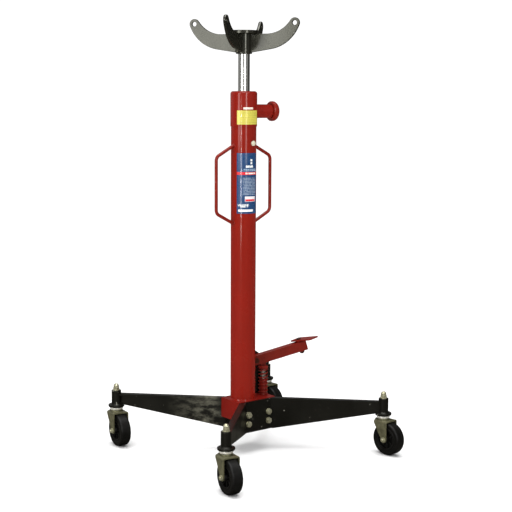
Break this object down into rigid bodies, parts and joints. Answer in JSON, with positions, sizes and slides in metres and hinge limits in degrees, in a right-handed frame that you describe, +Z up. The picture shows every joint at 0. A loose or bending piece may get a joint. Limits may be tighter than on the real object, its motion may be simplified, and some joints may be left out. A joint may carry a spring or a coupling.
{
  "type": "transmission jack",
  "caption": "Vertical hydraulic transmission jack: red column on folded black legs with swivel casters, foot pump, release knob and four-arm saddle.",
  "frame": {"origin": "on the floor under the ram's axis", "axes": "+Z up along the ram, +X along the right leg, -Y along the front leg towards the viewer"},
  "size_m": [0.9225, 0.9239, 1.307],
  "materials": {
    "mast_red": "satin",
    "block_red": "satin",
    "handle_red": "satin",
    "black_paint": "gloss",
    "saddle_black": "gloss",
    "bolt_zinc": "satin",
    "stem_steel": "satin",
    "bright_steel": "polished",
    "ram_chrome": "polished",
    "cylinder_steel": "satin",
    "bush_bronze": "satin",
    "piston_iron": "machined",
    "seal_rubber": "matte",
    "fork_galvanised": "galvanised",
    "tyre_black": "matte",
    "hub_plastic": "satin",
    "plug_plastic": "satin",
    "label_yellow": "gloss",
    "label_blue": "gloss",
    "spring_red": "satin"
  },
  "bodies": {
    "base": {"base_block": "block_red", "tie_bar": "black_paint", "leg_pair_front": "black_paint", "leg_pair_back": "black_paint", "leg_bolts": "bolt_zinc", "leg_sleeves": "black_paint", "caster_stems": "stem_steel", "acorn_nuts": "bolt_zinc", "bearing_races": "bright_steel", "reservoir_tube": "mast_red", "pressure_cylinder": "cylinder_steel", "collar": "mast_red", "gland_bush": "bush_bronze", "wiper_seal": "seal_rubber", "knob_boss": "mast_red", "carry_handle_front": "handle_red", "carry_handle_rear": "handle_red", "filler_plug": "plug_plastic", "collar_label": "label_yellow", "mast_label": "label_blue", "pump_barrel": "block_red", "pump_spring": "spring_red", "pedal_bracket": "black_paint", "pivot_pin": "bolt_zinc", "check_ball": "bright_steel"},
    "ram": {"ram_rod": "ram_chrome", "piston_head": "piston_iron", "piston_seal": "seal_rubber"},
    "saddle": {"saddle_hub": "saddle_black", "saddle_disc": "saddle_black", "saddle_arm_1": "saddle_black", "saddle_arm_2": "saddle_black", "saddle_arm_3": "saddle_black", "saddle_arm_4": "saddle_black", "hub_set_screw": "bolt_zinc"},
    "knob": {"release_knob": "handle_red", "release_spindle": "stem_steel"},
    "push_rod": {"release_rod": "stem_steel"},
    "pedal": {"pedal_lever": "handle_red", "pedal_plate": "handle_red", "pedal_bolt": "bolt_zinc", "plunger_pin": "bolt_zinc"},
    "plunger": {"pump_plunger": "ram_chrome", "plunger_cap": "spring_red"},
    "fork_front": {"caster_fork_front": "fork_galvanised", "caster_axle_front": "stem_steel"},
    "wheel_front": {"tyre_front": "tyre_black", "wheel_hub_front": "hub_plastic"},
    "fork_right": {"caster_fork_right": "fork_galvanised", "caster_axle_right": "stem_steel"},
    "wheel_right": {"tyre_right": "tyre_black", "wheel_hub_right": "hub_plastic"},
    "fork_back": {"caster_fork_back": "fork_galvanised", "caster_axle_back": "stem_steel"},
    "wheel_back": {"tyre_back": "tyre_black", "wheel_hub_back": "hub_plastic"},
    "fork_left": {"caster_fork_left": "fork_galvanised", "caster_axle_left": "stem_steel"},
    "wheel_left": {"tyre_left": "tyre_black", "wheel_hub_left": "hub_plastic"}
  },
  "joints": [
    {"name": "ram_slide", "type": "slide", "parent": "base", "child": "ram", "axis": [0, 0, 1], "range_m": [-0.105, 0.695]},
    {"name": "saddle_swivel", "type": "hinge", "parent": "ram", "child": "saddle", "pos_m": [0, 0, 1.2035], "axis": [0, 0, 1], "continuous": true},
    {"name": "knob_turn", "type": "hinge", "parent": "base", "child": "knob", "pos_m": [0, 0, 1.0355], "axis": [0.766, 0.6428, 0], "range_deg": [0, 90]},
    {"name": "rod_lift", "type": "slide", "parent": "base", "child": "push_rod", "axis": [0, 0, 1], "range_m": [-0.002, 0]},
    {"name": "pedal_press", "type": "hinge", "parent": "base", "child": "pedal", "pos_m": [0.03461, 0.05017, 0.2715], "axis": [-0.2588, 0.9659, 0], "range_deg": [0, 32], "stiffness_Nm_per_rad": 30, "springref_deg": -17.19},
    {"name": "plunger_stroke", "type": "slide", "parent": "base", "child": "plunger", "axis": [0, 0, 1], "range_m": [-0.0128, 0], "deforming": ["pump_spring"]},
    {"name": "swivel_front", "type": "hinge", "parent": "base", "child": "fork_front", "pos_m": [0.00747, -0.39844, 0.106], "axis": [0, 0, 1], "continuous": true},
    {"name": "roll_front", "type": "hinge", "parent": "fork_front", "child": "wheel_front", "pos_m": [0.02099, -0.41705, 0.0495], "axis": [0.809, 0.5878, 0], "continuous": true},
    {"name": "swivel_right", "type": "hinge", "parent": "base", "child": "fork_right", "pos_m": [0.42956, 0.02364, 0.106], "axis": [0, 0, 1], "continuous": true},
    {"name": "roll_right", "type": "hinge", "parent": "fork_right", "child": "wheel_right", "pos_m": [0.44743, 0.00917, 0.0495], "axis": [0.6293, 0.7771, 0], "continuous": true},
    {"name": "swivel_back", "type": "hinge", "parent": "base", "child": "fork_back", "pos_m": [0.02364, 0.42956, 0.106], "axis": [0, 0, 1], "continuous": true},
    {"name": "roll_back", "type": "hinge", "parent": "fork_back", "child": "wheel_back", "pos_m": [0.04073, 0.41417, 0.0495], "axis": [0.6691, 0.7431, 0], "continuous": true},
    {"name": "swivel_left", "type": "hinge", "parent": "base", "child": "fork_left", "pos_m": [-0.39844, 0.00747, 0.106], "axis": [0, 0, 1], "continuous": true},
    {"name": "roll_left", "type": "hinge", "parent": "fork_left", "child": "wheel_left", "pos_m": [-0.38413, -0.01053, 0.0495], "axis": [0.7826, 0.6225, 0], "continuous": true}
  ],
  "couplings": [
    {"joint": "rod_lift", "follows": "knob_turn", "m_per_rad": -0.001273},
    {"joint": "plunger_stroke", "follows": "pedal_press", "m_per_rad": -0.02259}
  ]
}
